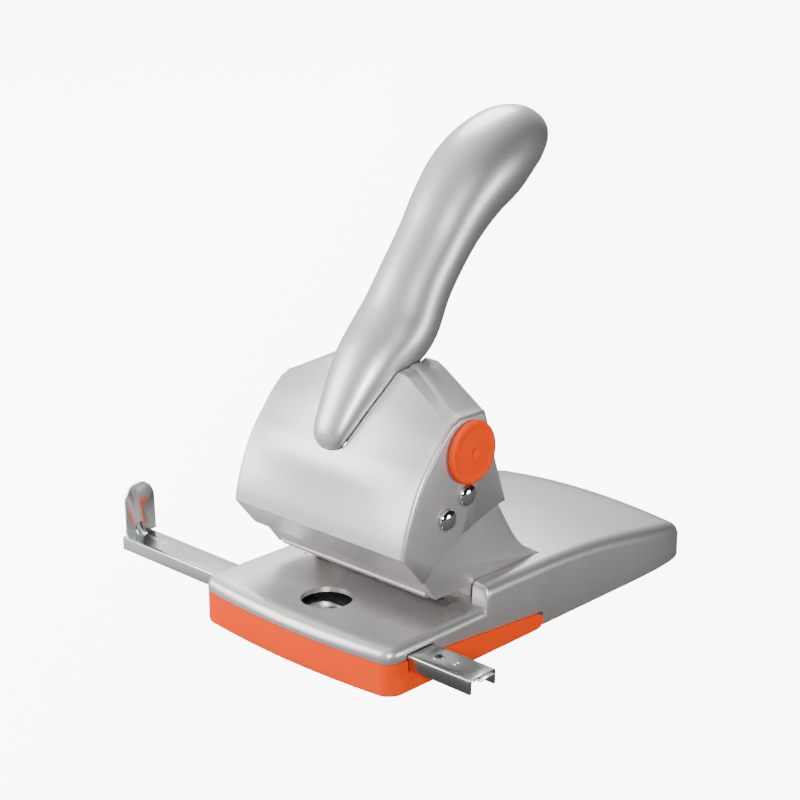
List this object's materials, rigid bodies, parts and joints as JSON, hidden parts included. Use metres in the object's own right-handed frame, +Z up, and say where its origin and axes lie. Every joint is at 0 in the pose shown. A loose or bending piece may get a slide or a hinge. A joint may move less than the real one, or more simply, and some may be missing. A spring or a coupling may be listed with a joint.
{
  "type": "two-hole paper punch",
  "caption": "Heavy-duty desktop two-hole paper punch with a long press-down lever handle, sliding format bar, round lock button and swing-down chip tray.",
  "frame": {"origin": "centre of the front foot strip's underside, on the table and on the plane of symmetry of the base, below the front edge of the guide bar", "axes": "+X to the operator's right, +Y to the back, +Z up"},
  "size_m": [0.2587, 0.249, 0.2575],
  "materials": {
    "silver_paint": "silver metallic paint, satin",
    "orange_plastic": "satin moulded plastic",
    "bright_chrome": "polished chrome plate",
    "plain_steel": "turned and ground steel",
    "black_plastic": "fine moulded texture",
    "dark_rubber": "matte rubber",
    "pale_nylon": "natural nylon",
    "bush_brass": "turned brass"
  },
  "bodies": {
    "base": {"base_shell": "silver_paint", "die_plate": "plain_steel", "bottom_plate": "black_plastic", "rear_foot_left": "dark_rubber", "rear_foot_right": "dark_rubber", "foot_screw_front_left": "plain_steel", "foot_screw_front_right": "plain_steel", "foot_screw_rear_left": "plain_steel", "foot_screw_rear_right": "plain_steel", "frame_casting": "silver_paint", "guide_bush_left": "bush_brass", "guide_bush_right": "bush_brass", "pivot_axle": "plain_steel", "pivot_cap_left": "bright_chrome", "pivot_cap_right": "bright_chrome", "pivot_washer_left": "pale_nylon", "pivot_washer_right": "pale_nylon", "bar_guide_left": "pale_nylon", "bar_guide_right": "pale_nylon", "tray_bracket_left": "black_plastic", "tray_bracket_right": "black_plastic", "return_spring_left": "plain_steel", "return_spring_right": "plain_steel"},
    "lever": {"lever_head": "silver_paint", "handle_grip": "silver_paint", "handle_screw_left": "plain_steel", "handle_screw_right": "plain_steel", "drive_pin": "plain_steel", "drive_cap_left": "bright_chrome", "drive_cap_right": "bright_chrome"},
    "lock": {"lock_knob": "orange_plastic", "lock_shaft": "plain_steel", "lock_cam": "plain_steel"},
    "punches": {"punch_yoke": "plain_steel", "punch_left": "plain_steel", "punch_right": "plain_steel", "punch_head_left": "plain_steel", "punch_head_right": "plain_steel"},
    "bar": {"guide_bar": "bright_chrome"},
    "tray": {"chip_tray": "orange_plastic", "tray_pin_left": "plain_steel", "tray_pin_right": "plain_steel", "front_pad": "dark_rubber", "rear_pad": "dark_rubber"}
  },
  "joints": [
    {"name": "lever_press", "type": "hinge", "parent": "base", "child": "lever", "pos_m": [0, 0.035, 0.0776], "axis": [-1, 0, 0], "range_deg": [0, 36], "stiffness_Nm_per_rad": 2, "springref_deg": -57.3},
    {"name": "punch_stroke", "type": "slide", "parent": "base", "child": "punches", "axis": [0, 0, -1], "range_m": [0, 0.0101], "deforming": ["return_spring_left", "return_spring_right"]},
    {"name": "lock_turn", "type": "hinge", "parent": "lever", "child": "lock", "pos_m": [0, 0.051, 0.1085], "axis": [-1, 0, 0], "range_deg": [0, 90]},
    {"name": "bar_slide", "type": "slide", "parent": "base", "child": "bar", "axis": [1, 0, 0], "range_m": [-0.018, 0.06]},
    {"name": "tray_open", "type": "hinge", "parent": "base", "child": "tray", "pos_m": [0, 0.0965, 0.006], "axis": [1, 0, 0], "range_deg": [0, 40]}
  ],
  "couplings": [
    {"joint": "punch_stroke", "follows": "lever_press", "m_per_rad": 0.016}
  ]
}
